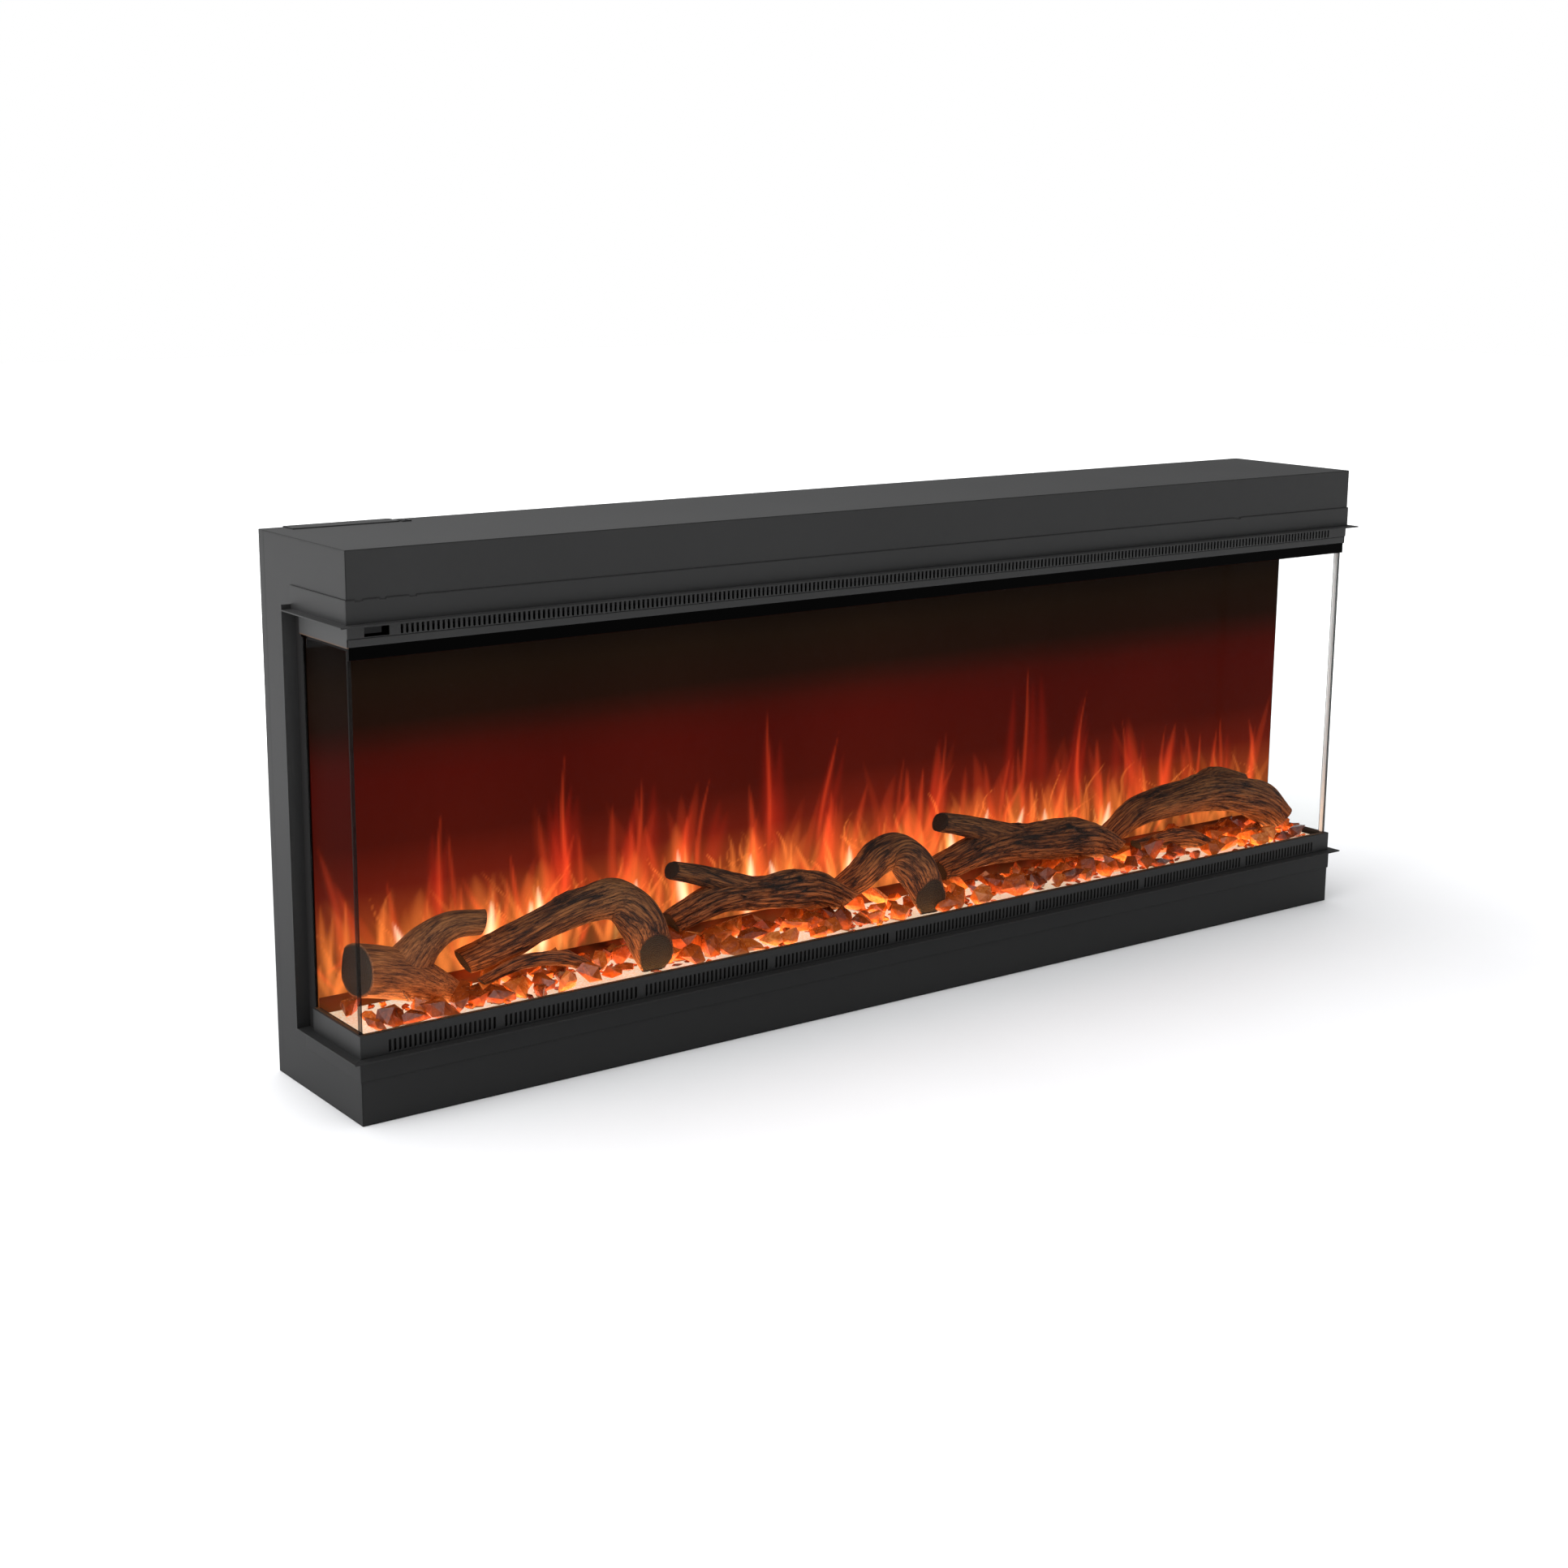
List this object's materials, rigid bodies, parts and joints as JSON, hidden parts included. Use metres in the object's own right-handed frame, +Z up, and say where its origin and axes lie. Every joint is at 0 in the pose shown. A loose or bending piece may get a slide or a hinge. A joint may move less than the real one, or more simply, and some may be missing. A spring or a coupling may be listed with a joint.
{
  "type": "electric fireplace",
  "caption": "Wide three-sided built-in electric fire: sheet-metal cabinet with finishing flanges, glass front and sides, lit driftwood and amber stone bed, flame screen and fan heater.",
  "frame": {"origin": "on the floor plane, under the middle of the whole bounding box", "axes": "+X to the right along the width, +Y from the front glass to the back panel, +Z up"},
  "size_m": [1.524, 0.22, 0.6115],
  "materials": {
    "casing_steel": "fine-textured satin charcoal powder coat",
    "back_steel": "satin charcoal powder coat, plainer than the front",
    "trim_steel": "satin charcoal powder coat with paler worn edges",
    "band_steel": "satin charcoal powder coat",
    "inner_black": "matt black",
    "clear_glass": "clear toughened glass with a polished edge",
    "amber_seal": "amber silicone",
    "receiver_plastic": "dark infrared window",
    "flame_screen": "semi-mirrored sheet with the flame picture shown on it",
    "rail_metal": "warm-lit satin rail",
    "tray_black": "satin black",
    "circuit_board": "green solder mask",
    "ember_plate": "sandy translucent plate, lit from below",
    "amber_stone": "rough broken amber glass",
    "driftwood": "weathered driftwood with deep grain and sawn ends",
    "foil": "bright reflecting foil",
    "bearing_plastic": "natural nylon",
    "motor_case": "dark satin",
    "galvanised": "galvanised sheet",
    "wheel_alloy": "bright stamped alloy",
    "element_metal": "finned element, lightly heat-tinted",
    "terminal_plastic": "ivory",
    "black_plastic": "black",
    "rocker_plastic": "gloss black",
    "zinc_screw": "zinc plated"
  },
  "bodies": {
    "cabinet": {"top_cover": "casing_steel", "side_panel_left": "casing_steel", "side_panel_right": "casing_steel", "base_pan": "casing_steel", "terminal_hatch": "casing_steel", "back_panel": "back_steel", "top_trim_front": "trim_steel", "top_trim_left": "trim_steel", "top_trim_right": "trim_steel", "bottom_trim_front": "trim_steel", "bottom_trim_left": "trim_steel", "bottom_trim_right": "trim_steel", "upright_trim_left": "trim_steel", "upright_trim_right": "trim_steel", "outlet_grille": "band_steel", "header_band_left": "band_steel", "header_band_right": "band_steel", "glass_retainer": "band_steel", "vent_band_front": "band_steel", "vent_band_left": "band_steel", "vent_band_right": "band_steel", "opening_post_left": "inner_black", "opening_post_right": "inner_black", "firebox_floor": "inner_black", "header_floor": "inner_black", "screen_head_rail": "inner_black", "outlet_duct": "inner_black", "front_glass": "clear_glass", "left_glass": "clear_glass", "right_glass": "clear_glass", "glass_seals": "amber_seal", "receiver_lens": "receiver_plastic", "flame_screen": "flame_screen", "screen_foot_rail": "rail_metal", "ember_tray": "tray_black", "ember_light_board": "circuit_board", "flame_light_board": "circuit_board", "control_board": "circuit_board", "ember_bed": "ember_plate", "ember_stones": "amber_stone", "log_forked_left": "driftwood", "log_arch_left": "driftwood", "log_twig_left": "driftwood", "log_branched_left": "driftwood", "log_arch_middle": "driftwood", "log_branched_right": "driftwood", "log_arch_right": "driftwood", "log_twig_right": "driftwood", "spindle_bearings": "bearing_plastic", "spindle_motor": "motor_case", "blower_motor": "motor_case", "blower_casing": "galvanised", "heating_element": "element_metal", "terminal_box": "terminal_plastic", "cable_gland": "black_plastic", "switch_housing": "black_plastic", "casing_screws": "zinc_screw"},
    "flame_spindle": {"flame_spindle": "foil"},
    "blower_wheel": {"blower_wheel": "wheel_alloy"},
    "switch_rocker": {"switch_rocker": "rocker_plastic"}
  },
  "joints": [
    {"name": "flame_spindle_spin", "type": "hinge", "parent": "cabinet", "child": "flame_spindle", "pos_m": [0, 0.06, 0.1185], "axis": [1, 0, 0], "continuous": true},
    {"name": "blower_wheel_spin", "type": "hinge", "parent": "cabinet", "child": "blower_wheel", "pos_m": [0, 0.045, 0.557], "axis": [1, 0, 0], "continuous": true},
    {"name": "switch_rock", "type": "hinge", "parent": "cabinet", "child": "switch_rocker", "pos_m": [-0.588, 0.089, 0.609], "axis": [1, 0, 0], "range_deg": [-20, 0]}
  ]
}
